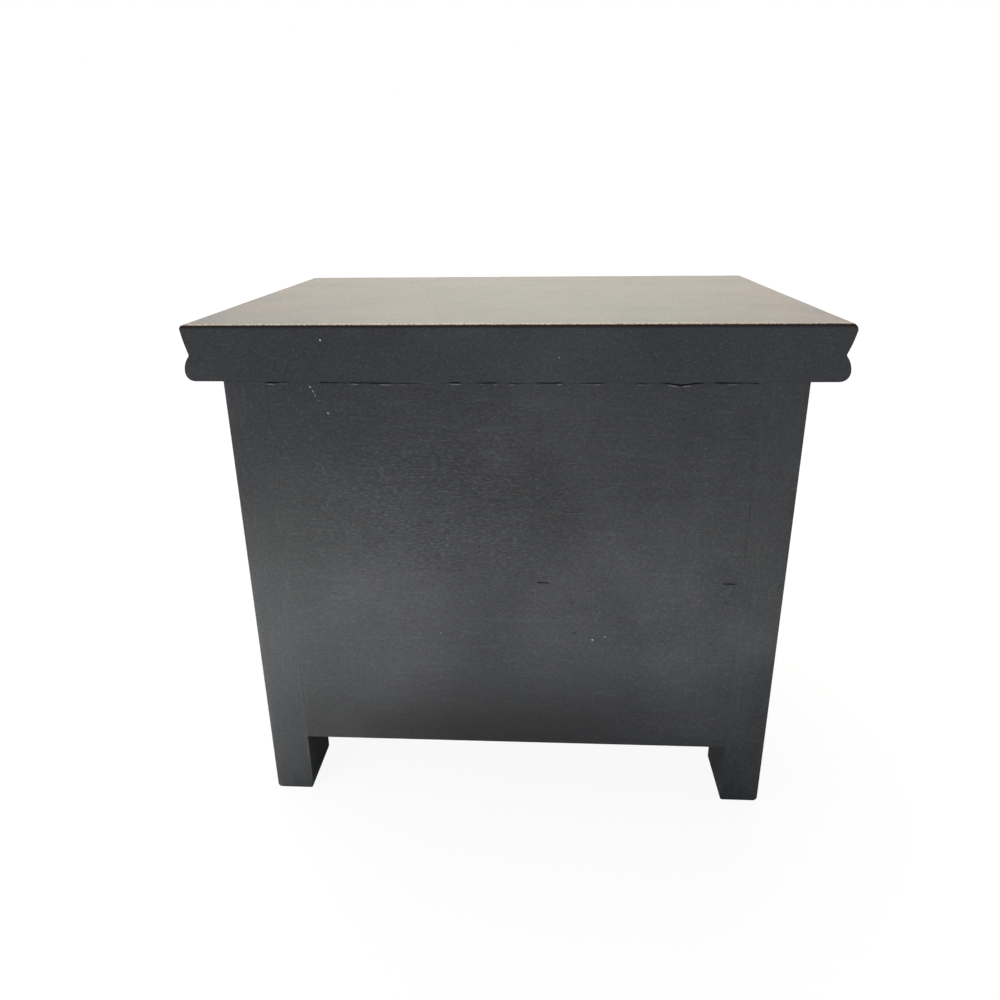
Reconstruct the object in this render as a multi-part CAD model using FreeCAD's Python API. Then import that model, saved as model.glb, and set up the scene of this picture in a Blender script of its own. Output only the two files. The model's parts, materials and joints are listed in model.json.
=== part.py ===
import FreeCAD, Part
import math
import os

# A tabletop chest of six small drawers, in millimetres. X points right as seen from the drawers, Y to the
# back and Z up. The origin is on the floor, under the middle of the overall box.

# Case
case_width = 210.4
case_depth = 162.0
overall_height = 204.0
side_thickness = 16.0
side_edge_radius = 1.2
floor_gap = 27.2
bottom_thickness = 12.8
shelf_thickness = 9.0
partition_thickness = 8.0
rail_thickness = 15.5
rail_depth = 34.0
back_thickness = 8.0
back_edge_radius = 0.6

# Feet, cut from the lower ends of the side boards
foot_depth = 28.0
foot_cut_height = 18.0
foot_cut_radius = 9.0
foot_edge_chamfer = 0.6

# Moulded top
top_thickness = 20.5
top_overhang = 13.7
top_edge_radius = 1.4
top_back_radius = 0.9
top_corner_radius = 1.8
nosing_setback = 0.2
notch_height = 9.4
bead_lower_radius = 3.5
bead_upper_radius = 8.5

# Joints between the boards
housing_depth = 5.0
housing_stop = 12.0
groove_depth = 3.0
dovetail_length = 10.0
dovetail_neck = 17.0
dovetail_flare = 0.2
joint_clearance = 0.1
back_top_gap = 0.2

# Staples through the back panel
staple_crown = 5.7
staple_wire = 1.2
staple_leg = 18.0
staple_sink = 0.5
staple_spacing = 80.0

# Screws through the rails into the top
screw_spacing = 120.0
screw_length = 30.0
screw_radius = 1.8
screw_head_radius = 3.4
screw_head_height = 2.2
screw_tip_length = 3.0
screw_clearance = 0.1

# Drawers
front_thickness = 12.0
front_lap = 8.0
front_edge_chamfer = 0.8
side_reveal = 0.8
top_reveal = 1.0
runner_gap = 0.3
stop_gap = 0.3
drawer_side_thickness = 6.0
drawer_side_drop = 4.0
drawer_back_thickness = 6.0
drawer_back_drop = 3.0
drawer_back_inset = 5.0
drawer_back_housing = 2.0
drawer_bottom_thickness = 3.0
drawer_bottom_lift = 4.0
drawer_bottom_groove = 2.5
brad_width = 1.2
brad_length = 14.0
brad_margin = 14.0

# Turned knobs
knob_projection = 12.8
knob_radius = 7.0
knob_head_length = 5.0
knob_bevel = 1.0
knob_stem_radius = 4.0
knob_bore_depth = 9.0
knob_clearance = 0.05

# Drawer columns, left to right
column_names = ("left", "middle", "right")

# Levels and planes that follow from the sizes above
total_depth = case_depth + top_overhang
back_y = total_depth / 2
front_y = back_y - case_depth
inner_back_y = back_y - back_thickness
inner_x = case_width / 2 - side_thickness
soffit_z = overall_height - top_thickness
floor_z = floor_gap + bottom_thickness
rail_z = soffit_z - rail_thickness
shelf_z = (floor_z + rail_z - shelf_thickness) / 2
shelf_top_z = shelf_z + shelf_thickness
lap_y = (front_y + inner_back_y) / 2
opening_height = shelf_z - floor_z
column_count = len(column_names)
column_width = (2 * inner_x - (column_count - 1) * partition_thickness) / column_count
column_pitch = column_width + partition_thickness
column_x = [(n - (column_count - 1) / 2) * column_pitch for n in range(column_count)]
partition_x = [(n + 1 - column_count / 2) * column_pitch for n in range(column_count - 1)]
row_z = {"lower": floor_z, "upper": shelf_top_z}
rail_y = {"front": front_y, "back": inner_back_y - rail_depth}

# Staple rows: height, and how far the first and the last stand in from the side boards
staple_rows = (
    (floor_gap + bottom_thickness / 2, 31.8, 56.2),
    (shelf_z + shelf_thickness / 2, 5.2, 29.2),
    (rail_z + rail_thickness / 2, 17.2, 17.2),
)


def point(x, y, z):
    return FreeCAD.Vector(x, y, z)


def block(x, y, z):
    """A box from three (low, high) pairs."""
    size = [high - low for low, high in (x, y, z)]
    return Part.makeBox(*size, point(x[0], y[0], z[0]))


def closed_face(start, steps):
    """A flat face whose edge goes from point to point. A pair of points is an arc through the first one."""
    edges = []
    here = start
    for step in steps:
        if isinstance(step, tuple):
            middle, end = step
            edges.append(Part.Arc(here, middle, end).toShape())
        else:
            end = step
            edges.append(Part.LineSegment(here, end).toShape())
        here = end
    if here.distanceToPoint(start) > 1e-6:
        edges.append(Part.LineSegment(here, start).toShape())
    return Part.Face(Part.Wire(edges))


def edges_on(shape, direction, level):
    """The edges of a shape that lie wholly at one level along a direction."""
    found = []
    for edge in shape.Edges:
        heights = [v.Point.dot(direction) for v in edge.Vertexes]
        heights.append(edge.valueAt((edge.FirstParameter + edge.LastParameter) / 2).dot(direction))
        if all(abs(height - level) < 1e-6 for height in heights):
            found.append(edge)
    return found


def mirrored(shape):
    return shape.mirror(point(0, 0, 0), point(1, 0, 0))


def moulding_steps(place):
    """The moulded edge from the soffit up to the top face. place(out, up) puts a point at a distance out from
    the side of the case and up from the soffit."""
    diagonal = math.sqrt(0.5)
    bead_out = top_overhang
    nosing_out = top_overhang - nosing_setback
    bead_rise = notch_height - bead_lower_radius
    notch_in = bead_upper_radius - math.sqrt(bead_upper_radius**2 - bead_rise**2)
    notch_out = bead_out - notch_in
    fascia_top = top_thickness - top_edge_radius
    fascia_rise = fascia_top - notch_height
    fascia_in = nosing_out - notch_out
    fascia_radius = (fascia_rise**2 + fascia_in**2) / (2 * fascia_in)

    def bead(rise):
        return bead_out - bead_upper_radius + math.sqrt(bead_upper_radius**2 - rise**2)

    def fascia(drop):
        return nosing_out - fascia_radius + math.sqrt(fascia_radius**2 - drop**2)

    return [
        place(bead_out - bead_lower_radius, 0),
        (
            place(bead_out - bead_lower_radius * (1 - diagonal), bead_lower_radius * (1 - diagonal)),
            place(bead_out, bead_lower_radius),
        ),
        (place(bead(bead_rise / 2), bead_lower_radius + bead_rise / 2), place(notch_out, notch_height)),
        (place(fascia(fascia_rise / 2), fascia_top - fascia_rise / 2), place(nosing_out, fascia_top)),
        (
            place(nosing_out - top_edge_radius * (1 - diagonal), fascia_top + top_edge_radius * diagonal),
            place(nosing_out - top_edge_radius, top_thickness),
        ),
    ]


def across_section():
    """The top board cut across its width: both edges are moulded."""
    half = case_width / 2
    right = moulding_steps(lambda out, up: point(half + out, -total_depth / 2, soffit_z + up))
    left = moulding_steps(lambda out, up: point(-half - out, -total_depth / 2, soffit_z + up))
    left_points = [left[0]] + [step[1] for step in left[1:]]
    down = []
    for number in range(len(left_points) - 1, 0, -1):
        down.append((left[number][0], left_points[number - 1]))
    return closed_face(right[0], right[1:] + [left_points[-1]] + down)


def along_section():
    """The top board cut from front to back: the front edge is moulded and the back edge is only eased."""
    x = -case_width / 2 - top_overhang
    front = moulding_steps(lambda out, up: point(x, front_y - out, soffit_z + up))
    diagonal = math.sqrt(0.5)
    radius = top_back_radius
    eased = (
        point(x, back_y - radius * (1 - diagonal), overall_height - radius * (1 - diagonal)),
        point(x, back_y, overall_height - radius),
    )
    rest = [point(x, back_y - radius, overall_height), eased, point(x, back_y, soffit_z)]
    return closed_face(front[0], front[1:] + rest)


def rounded_plan(x, y, z, radii):
    """A box with rounded upright edges. radii are for the (-x -y), (+x -y), (+x +y) and (-x +y) corners."""
    shape = block(x, y, z)
    corners = ((x[0], y[0]), (x[1], y[0]), (x[1], y[1]), (x[0], y[1]))
    for (corner_x, corner_y), radius in zip(corners, radii):
        if radius > 0:
            upright = [
                edge
                for edge in shape.Edges
                if all(math.hypot(v.X - corner_x, v.Y - corner_y) < 1e-6 for v in edge.Vertexes)
            ]
            shape = shape.makeFillet(radius, upright)
    return shape


def screw_form():
    """A pan-head wood screw, point up, with its head under the origin."""
    face = closed_face(
        point(0, 0, -screw_head_height),
        [
            point(screw_head_radius, 0, -screw_head_height),
            point(screw_head_radius, 0, 0),
            point(screw_radius, 0, 0),
            point(screw_radius, 0, screw_length - screw_tip_length),
            point(0, 0, screw_length),
        ],
    )
    return face.revolve(point(0, 0, 0), point(0, 0, 1), 360)


def screw_places():
    for start in rail_y.values():
        for x in (-screw_spacing / 2, screw_spacing / 2):
            yield point(x, start + rail_depth / 2, rail_z)


def top_screws():
    return [screw_form().translated(place) for place in screw_places()]


def screw_holes():
    bore = Part.makeCylinder(screw_radius + screw_clearance, screw_length)
    return [bore.translated(place) for place in screw_places()]


def staple_form(recess):
    """A staple at the origin with its crown along X and its legs towards -Y. recess adds the slit over it."""
    half = staple_crown / 2
    wire = (-staple_wire / 2, staple_wire / 2)
    crown = (-staple_sink - staple_wire, -staple_sink + recess)
    leg = (-staple_sink - staple_leg, -staple_sink - staple_wire)
    shape = block((-half, half), crown, wire)
    for start in (-half, half - staple_wire):
        shape = shape.fuse(block((start, start + staple_wire), leg, wire))
    return shape.removeSplitter()


def back_staples(recess=0.0):
    staples = []
    for height, first_margin, last_margin in staple_rows:
        span = 2 * inner_x - first_margin - last_margin
        gaps = round(span / staple_spacing)
        for n in range(gaps + 1):
            place = point(first_margin - inner_x + n * span / gaps, back_y, height)
            staples.append(staple_form(recess).translated(place))
    return staples


def top_board():
    width = case_width + 2 * top_overhang
    half = width / 2
    radii = (top_corner_radius, top_corner_radius, top_corner_radius / 2, top_corner_radius / 2)
    across = across_section().extrude(point(0, total_depth, 0))
    along = along_section().extrude(point(width, 0, 0))
    depth = (-total_depth / 2, total_depth / 2)
    plan = rounded_plan((-half, half), depth, (soffit_z, overall_height), radii)
    shape = across.common(along).common(plan)
    for hole in screw_holes():
        shape = shape.cut(hole)
    return shape


def dovetail(start_y, length):
    """The tail on the right end of a rail, seen from above a trapezium that widens into the side board."""
    middle = start_y + rail_depth / 2
    near = dovetail_neck / 2
    far = near + dovetail_flare * length
    face = closed_face(
        point(inner_x, middle - near, rail_z),
        [
            point(inner_x + length, middle - far, rail_z),
            point(inner_x + length, middle + far, rail_z),
            point(inner_x, middle + near, rail_z),
        ],
    )
    return face.extrude(point(0, 0, rail_thickness))


def side_right():
    """The right side board, with its two feet, housings for bottom and shelf, and sockets for the rails."""
    radius = foot_cut_radius
    turn = radius * (1 - math.sqrt(0.5))
    near = front_y + foot_depth
    far = back_y - foot_depth
    high = foot_cut_height
    outline = closed_face(
        point(inner_x, front_y, 0),
        [
            point(inner_x, near, 0),
            point(inner_x, near, high - radius),
            (point(inner_x, near + turn, high - turn), point(inner_x, near + radius, high)),
            point(inner_x, far - radius, high),
            (point(inner_x, far - turn, high - turn), point(inner_x, far, high - radius)),
            point(inner_x, far, 0),
            point(inner_x, back_y, 0),
            point(inner_x, back_y, soffit_z),
            point(inner_x, front_y, soffit_z),
        ],
    )
    board = outline.extrude(point(side_thickness, 0, 0))
    radii = (0, side_edge_radius, side_edge_radius, 0)
    board = board.common(rounded_plan((inner_x, case_width / 2), (front_y, back_y), (0, soffit_z), radii))
    board = board.makeChamfer(foot_edge_chamfer, edges_on(board, point(0, 0, 1), 0.0))
    depth = (inner_x, inner_x + housing_depth)
    run = (front_y + housing_stop, inner_back_y)
    for low, high in ((floor_gap, floor_z), (shelf_z, shelf_top_z)):
        board = board.cut(block(depth, run, (low, high)))
    for start in rail_y.values():
        board = board.cut(dovetail(start, dovetail_length + joint_clearance))
    return board


def housed_board(low, high):
    """A level board between the sides, with tongues that fill the housings."""
    reach = inner_x + housing_depth - joint_clearance
    body = block((-inner_x, inner_x), (front_y, inner_back_y), (low, high))
    run = (front_y + housing_stop + joint_clearance, inner_back_y - joint_clearance)
    return body.fuse(block((-reach, reach), run, (low, high))).removeSplitter()


def cut_staples(board):
    for staple in back_staples(staple_sink):
        board = board.cut(staple)
    return board


def partition_zone(x, low, high):
    half = partition_thickness / 2
    return block((x - half, x + half), (front_y, inner_back_y), (low, high))


def bottom_board():
    board = housed_board(floor_gap, floor_z)
    for x in partition_x:
        board = board.cut(partition_zone(x, floor_z - groove_depth, floor_z))
    return cut_staples(board)


def middle_shelf():
    """The shelf, slotted from its back edge to half its depth for each partition."""
    board = housed_board(shelf_z, shelf_top_z)
    half = partition_thickness / 2 + joint_clearance
    for x in partition_x:
        board = board.cut(block((x - half, x + half), (lap_y, inner_back_y), (shelf_z, shelf_top_z)))
    return cut_staples(board)


def partition(x):
    """An upright divider, slotted from its front edge to half its depth for the shelf."""
    half = partition_thickness / 2
    board = partition_zone(x, floor_z - groove_depth, rail_z + groove_depth)
    slot = (shelf_z - joint_clearance, shelf_top_z + joint_clearance)
    return board.cut(block((x - half, x + half), (front_y, lap_y + joint_clearance), slot))


def top_rail(start_y):
    run = (start_y, start_y + rail_depth)
    rail = block((-inner_x, inner_x), run, (rail_z, soffit_z))
    tail = dovetail(start_y, dovetail_length)
    rail = rail.fuse(tail).fuse(mirrored(tail)).removeSplitter()
    for x in partition_x:
        rail = rail.cut(partition_zone(x, rail_z, rail_z + groove_depth))
    for hole in screw_holes():
        rail = rail.cut(hole)
    return cut_staples(rail)


def back_panel():
    half = inner_x - joint_clearance
    height = (floor_gap, soffit_z - back_top_gap)
    panel = block((-half, half), (inner_back_y, back_y), height)
    lower = [
        edge
        for edge in edges_on(panel, point(0, 0, 1), floor_gap)
        if all(abs(v.Y - back_y) < 1e-6 for v in edge.Vertexes)
    ]
    return cut_staples(panel.makeFillet(back_edge_radius, lower))


# Drawer pieces, made once about x = 0 over a floor at z = 0 and then copied to each opening
drawer_half = column_width / 2 - side_reveal
drawer_inner = drawer_half - drawer_side_thickness
drawer_top = opening_height - top_reveal
drawer_side_top = drawer_top - drawer_side_drop
drawer_end_y = inner_back_y - stop_gap
drawer_bottom_low = runner_gap + drawer_bottom_lift
drawer_bottom_high = drawer_bottom_low + drawer_bottom_thickness
drawer_back_far = drawer_end_y - drawer_back_inset
drawer_back_near = drawer_back_far - drawer_back_thickness
front_back_y = front_y + front_thickness
front_lap_y = front_back_y - front_lap
knob_z = (runner_gap + drawer_top) / 2


def brad(hand, y, z):
    """A square brad, with its head flush with the outside of the right (1) or left (-1) side."""
    half = brad_width / 2
    run = sorted((hand * drawer_half, hand * (drawer_half - brad_length)))
    return block(run, (y - half, y + half), (z - half, z + half))


def drawer_brads():
    """Two brads through each side into the end of the front."""
    y = front_lap_y + front_lap / 2
    brads = []
    for hand in (-1, 1):
        for z in (runner_gap + brad_margin, drawer_side_top - brad_margin):
            brads.append(brad(hand, y, z))
    return brads


def cut_brads(board):
    for pin in drawer_brads():
        board = board.cut(pin)
    return board


def drawer_front():
    """The front, rebated at both ends for the sides and grooved for the bottom."""
    board = block((-drawer_half, drawer_half), (front_y, front_back_y), (runner_gap, drawer_top))
    board = board.makeChamfer(front_edge_chamfer, edges_on(board, point(0, 1, 0), front_y))
    for low, high in ((-drawer_half, -drawer_inner), (drawer_inner, drawer_half)):
        board = board.cut(block((low, high), (front_lap_y, front_back_y), (runner_gap, drawer_top)))
    groove = (front_back_y - drawer_bottom_groove, front_back_y)
    board = board.cut(block((-drawer_inner, drawer_inner), groove, (drawer_bottom_low, drawer_bottom_high)))
    bore_start = point(0, front_y, knob_z)
    bore = Part.makeCylinder(knob_stem_radius + knob_clearance, knob_bore_depth, bore_start, point(0, 1, 0))
    return cut_brads(board.cut(bore))


def drawer_side_right():
    """The right side, grooved for the bottom and housed for the back."""
    board = block((drawer_inner, drawer_half), (front_lap_y, drawer_end_y), (runner_gap, drawer_side_top))
    groove = (drawer_inner, drawer_inner + drawer_bottom_groove)
    run = (front_lap_y, drawer_end_y)
    board = board.cut(block(groove, run, (drawer_bottom_low, drawer_bottom_high)))
    housing = (drawer_inner, drawer_inner + drawer_back_housing)
    rise = (drawer_bottom_high, drawer_side_top)
    board = board.cut(block(housing, (drawer_back_near, drawer_back_far), rise))
    return cut_brads(board)


def drawer_back():
    half = drawer_inner + drawer_back_housing - joint_clearance
    rise = (drawer_bottom_high, drawer_side_top - drawer_back_drop)
    return block((-half, half), (drawer_back_near, drawer_back_far), rise)


def drawer_bottom():
    half = drawer_inner + drawer_bottom_groove - joint_clearance
    inner_half = drawer_inner - joint_clearance
    near = front_back_y - drawer_bottom_groove + joint_clearance
    level = (drawer_bottom_low, drawer_bottom_high)
    sheet = block((-half, half), (front_back_y + joint_clearance, drawer_back_far - joint_clearance), level)
    tongue = block((-inner_half, inner_half), (near, front_back_y + joint_clearance), level)
    return sheet.fuse(tongue).removeSplitter()


def drawer_knob():
    """A turned knob: a straight stem down to the floor of its bore, and a wider head with a bevelled face."""

    def at(radius, out):
        return point(radius, front_y - out, knob_z)

    head_start = knob_projection - knob_head_length
    face = closed_face(
        at(0, -knob_bore_depth),
        [
            at(knob_stem_radius, -knob_bore_depth),
            at(knob_stem_radius, head_start),
            at(knob_radius, head_start),
            at(knob_radius, knob_projection - knob_bevel),
            at(knob_radius - knob_bevel, knob_projection),
            at(0, knob_projection),
        ],
    )
    return face.revolve(at(0, 0), point(0, 1, 0), 360)


def drawer_pieces():
    side = drawer_side_right()
    return {
        "front": drawer_front(),
        "side_left": mirrored(side),
        "side_right": side,
        "back": drawer_back(),
        "bottom": drawer_bottom(),
        "knob": drawer_knob(),
        "brads": Part.makeCompound(drawer_brads()),
    }


def case_pieces():
    side = side_right()
    pieces = {
        "top_board": top_board(),
        "side_left": mirrored(side),
        "side_right": side,
        "back_panel": back_panel(),
        "bottom_board": bottom_board(),
        "middle_shelf": middle_shelf(),
        "top_rail_front": top_rail(rail_y["front"]),
        "top_rail_back": top_rail(rail_y["back"]),
        "top_screws": Part.makeCompound(top_screws()),
        "back_staples": Part.makeCompound(back_staples()),
    }
    partition_names = column_names[:1] + column_names[2:]
    for name, x in zip(partition_names, partition_x):
        pieces[f"partition_{name}"] = partition(x)
    return pieces


def all_pieces():
    pieces = case_pieces()
    drawer = drawer_pieces()
    for row, z in row_z.items():
        for column, x in zip(column_names, column_x):
            for name, shape in drawer.items():
                pieces[f"drawer_{row}_{column}_{name}"] = shape.translated(point(x, 0, z))
    return pieces


os.makedirs("parts", exist_ok=True)
for name, shape in all_pieces().items():
    if not shape.isValid():
        raise ValueError(f"{name} is not a valid solid")
    shape.exportStep(f"parts/{name}.step")
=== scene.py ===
import json
import math

import bmesh
import bpy
import numpy as np
from mathutils import Matrix, Vector

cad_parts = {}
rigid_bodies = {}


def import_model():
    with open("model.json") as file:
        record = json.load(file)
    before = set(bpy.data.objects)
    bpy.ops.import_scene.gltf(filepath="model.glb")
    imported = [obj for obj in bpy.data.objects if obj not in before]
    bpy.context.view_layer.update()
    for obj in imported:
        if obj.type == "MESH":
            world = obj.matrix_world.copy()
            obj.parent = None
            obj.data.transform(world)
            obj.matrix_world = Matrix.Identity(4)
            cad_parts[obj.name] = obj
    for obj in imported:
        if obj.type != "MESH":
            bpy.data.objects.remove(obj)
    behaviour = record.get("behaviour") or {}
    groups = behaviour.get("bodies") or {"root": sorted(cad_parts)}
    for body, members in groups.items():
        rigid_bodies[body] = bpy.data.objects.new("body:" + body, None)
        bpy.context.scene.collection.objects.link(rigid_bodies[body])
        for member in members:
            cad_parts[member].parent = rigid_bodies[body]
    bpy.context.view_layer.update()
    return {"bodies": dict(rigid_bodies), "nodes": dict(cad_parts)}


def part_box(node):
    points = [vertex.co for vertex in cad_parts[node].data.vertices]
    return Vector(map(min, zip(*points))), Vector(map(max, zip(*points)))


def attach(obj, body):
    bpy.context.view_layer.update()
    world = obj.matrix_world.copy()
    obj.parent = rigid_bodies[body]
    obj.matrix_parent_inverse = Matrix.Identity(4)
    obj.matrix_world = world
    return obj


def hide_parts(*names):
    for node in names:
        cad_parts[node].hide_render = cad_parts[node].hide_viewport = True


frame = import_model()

# Sizes in metres. X points right as seen from the drawers, Y to the plain back and Z up.
mm = 0.001

# The moulded edge of the top
bead_lower_radius = 3.5 * mm
bead_upper_radius = 8.5 * mm
notch_height = 9.4 * mm
nosing_setback = 0.2 * mm
crisp_edge_radius = 1.7 * mm
rubbed_edge_radius = 2.6 * mm
rubbed_bead_inset = 0.6 * mm
fascia_flatness = 0.6
notch_fillet = 0.7 * mm
top_back_radius = 1.2 * mm
top_corner_radius = 3.5 * mm
inner_corner_radius = 0.3 * mm
top_grid = 2.5 * mm

# Side boards and feet
side_edge_radius = 1.2 * mm
foot_depth = 28.0 * mm
foot_cut_height = 18.0 * mm
foot_cut_radius = 9.0 * mm
foot_edge_radius = 1.8 * mm
board_grid = 3.0 * mm

# Drawers
front_lap = 8.0 * mm
drawer_side_thickness = 6.0 * mm
front_edge_radius = 0.9 * mm
knob_sides = 56

# Back panel
panel_grid = 0.6 * mm
panel_fine_grid = 0.16 * mm
back_edge_radius = 0.6 * mm
joint_drop = 0.4 * mm
crack_depth = 0.5 * mm
crack_width = 0.25 * mm
slit_depth = 0.3 * mm
slit_half_length = 2.8 * mm
pit_radius = 0.5 * mm

# Marks in the paint of the back, in millimetres, from the photograph: cracks over the joint as (from x, to x),
# and the rest as (x, z)
joint_cracks = [(-88, -71), (-69, -53), (-52, -44), (-34, -23), (-19, -8), (-6, 2), (4, 15), (17, 23), (31, 71), (78, 90)]
staple_slits = [(-12, 103.6), (-84, 104.2)]
paint_pits = [(54, 94.5), (-83, 96.5), (-79, 77.5), (-57.4, 34.5), (-24.6, 81), (-23.4, 94.8), (13, 119), (33, 32)]
pale_flecks = [(67.9, 198.5), (67.4, 171.8), (-32, 78.4), (-37, 79.8), (29.2, 80.2), (-17, 192.2)]
scratch_line = [(73.6, 182.2), (72.6, 180.8), (72.0, 179.2), (71.2, 177.6), (70.0, 175.4)]

# Camera, from a fit to the photograph's outlines
camera_place = (-0.01224, 0.36774, 0.24552)
camera_heading = 183.4212
camera_pitch = 69.0724
camera_roll = -0.6795
camera_lens = 28.595

top_low, top_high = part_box("top_board")
left_low, left_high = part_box("side_left")
right_low, right_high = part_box("side_right")
panel_low, panel_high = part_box("back_panel")
case_half = right_high.x
inner_x = right_low.x
front_y = right_low.y
back_y = right_high.y
soffit_z = top_low.z
top_z = top_high.z
overhang = top_high.x - case_half


def srgb(red, green, blue):
    """A display colour, 0 to 255, as the linear colour that a shader takes."""
    return tuple((channel / 255) ** 2.2 for channel in (red, green, blue)) + (1.0,)


class Nodes:
    """A material's node tree, with short calls to add nodes and join them."""

    def __init__(self, name):
        self.material = bpy.data.materials.new(name)
        self.material.use_nodes = True
        self.tree = self.material.node_tree
        self.tree.nodes.clear()
        self.place = self.add("ShaderNodeTexCoord").outputs["Object"]

    def add(self, kind, inputs=None, **settings):
        node = self.tree.nodes.new(kind)
        for name, value in settings.items():
            setattr(node, name, value)
        for name, value in (inputs or {}).items():
            if isinstance(value, bpy.types.NodeSocket):
                self.tree.links.new(value, node.inputs[name])
            else:
                node.inputs[name].default_value = value
        return node

    def maths(self, operation, first, second=0.0):
        return self.add("ShaderNodeMath", {0: first, 1: second}, operation=operation).outputs[0]

    def stretched(self, stretch):
        """The place on the object, squeezed along each axis, so that a pattern is drawn out along the small one."""
        return self.add("ShaderNodeMapping", {"Vector": self.place, "Scale": stretch}).outputs[0]

    def noise(self, size, detail=2.0, stretch=(1, 1, 1), roughness=0.5, distortion=0.0):
        """Noise with features of about the given size in metres."""
        inputs = {
            "Vector": self.stretched(stretch),
            "Scale": 1 / size,
            "Detail": detail,
            "Roughness": roughness,
            "Distortion": distortion,
        }
        return self.add("ShaderNodeTexNoise", inputs).outputs["Fac"]

    def dots(self, size, radius, stretch=(1, 1, 1)):
        """1 at the middle of scattered dots and 0 between them."""
        inputs = {"Vector": self.stretched(stretch), "Scale": 1 / size}
        far = self.add("ShaderNodeTexVoronoi", inputs).outputs["Distance"]
        return self.ramp(far, radius / size, 0.0)

    def ramp(self, value, start, end, low=0.0, high=1.0):
        """A smooth step of value from start, which gives low, to end, which gives high."""
        inputs = {"Value": value, "From Min": start, "From Max": end, "To Min": low, "To Max": high}
        node = self.add("ShaderNodeMapRange", inputs, interpolation_type="SMOOTHSTEP")
        return node.outputs["Result"]

    def mix(self, factor, first, second):
        inputs = {"Factor": factor, "A": first, "B": second}
        node = self.add("ShaderNodeMix", data_type="RGBA")
        for name, value in inputs.items():
            kind = "VALUE" if name == "Factor" else "RGBA"
            socket = next(s for s in node.inputs if s.name == name and s.type == kind)
            if isinstance(value, bpy.types.NodeSocket):
                self.tree.links.new(value, socket)
            else:
                socket.default_value = value
        return next(s for s in node.outputs if s.type == "RGBA")

    def axis(self, source, name):
        return self.add("ShaderNodeSeparateXYZ", {"Vector": source}).outputs[name]

    def facing(self, name):
        """The part of the surface's direction along an axis."""
        return self.axis(self.add("ShaderNodeNewGeometry").outputs["Normal"], name)

    def attribute(self, name):
        return self.add("ShaderNodeAttribute", attribute_name=name).outputs["Fac"]

    def bump(self, height, distance, below=None, strength=1.0):
        inputs = {"Height": height, "Distance": distance, "Strength": strength}
        if below is not None:
            inputs["Normal"] = below
        return self.add("ShaderNodeBump", inputs).outputs["Normal"]

    def finish(self, inputs):
        surface = self.add("ShaderNodeBsdfPrincipled", inputs)
        self.add("ShaderNodeOutputMaterial", {"Surface": surface.outputs["BSDF"]})
        return self.material


paint_dark = srgb(42, 44, 48)
paint_mid = srgb(54, 56, 61)
paint_speck = srgb(104, 105, 108)
paint_pit = srgb(12, 12, 13)
# Paler paint along the lower lip of the cracks.
pale_lip_colour = srgb(128, 128, 128)
# The colour of the painted shade under the top's edge.
edge_shade_colour = srgb(28, 18, 16)
# The colour of the painted shade low on the back.
low_shade_colour = srgb(26, 25, 22)
undercoat = srgb(92, 60, 48)
bare_edge_and_highlight = srgb(186, 174, 156)
# Pale bare wood of rubbed edges, which on the top's edges also stands in for a painted highlight.
dust_colour = srgb(196, 180, 158)


def stipple(n, colour):
    """Fine brush marks: pale grains and dark pits less than a millimetre across."""
    pale = n.noise(0.5 * mm, 2, (0.6, 1.0, 0.9), 0.6)
    pits = n.noise(0.55 * mm, 2, (0.5, 1.0, 1.0), 0.6)
    colour = n.mix(n.ramp(pale, 0.5, 0.78, 0.0, 0.2), colour, paint_speck)
    colour = n.mix(n.ramp(pits, 0.44, 0.26, 0.0, 0.42), colour, paint_pit)
    return colour, n.maths("SUBTRACT", pale, n.ramp(pits, 0.46, 0.26))


def crackle(n, grain):
    """Thin broken lines along the grain: 1 on a line and 0 between them."""
    along = tuple(0.22 if axis == grain else 1.0 for axis in "XYZ")
    wave = n.noise(1.3 * mm, 3, along, 0.5, 0.3)
    line = n.ramp(n.maths("ABSOLUTE", n.maths("SUBTRACT", wave, 0.5)), 0.0, 0.03, 1.0, 0.0)
    broken = n.ramp(n.noise(2.6 * mm, 2, along), 0.45, 0.6)
    return n.maths("MULTIPLY", line, broken)


def worn(n, colour):
    """Rubs the paint off where the mesh stores wear, which on the top's edges is partly a painted highlight, and
    darkens it with painted shade where the mesh stores that.
    """
    colour = n.mix(n.ramp(n.attribute("painted_edge_shade"), 0.1, 0.9, 0.0, 0.92), colour, edge_shade_colour)
    chips = n.noise(0.8 * mm, 3, roughness=0.75)
    # On the top's edges the rubbed-off paint is partly real wear and partly a painted highlight.
    rub = n.maths("MULTIPLY", n.attribute("wear_and_edge_highlight"), n.ramp(chips, 0.3, 0.6, 0.35, 1.0))
    colour = n.mix(n.ramp(rub, 0.3, 0.45, 0.0, 0.5), colour, undercoat)
    return n.mix(n.ramp(rub, 0.42, 0.8, 0.0, 0.75), colour, bare_edge_and_highlight)


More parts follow.
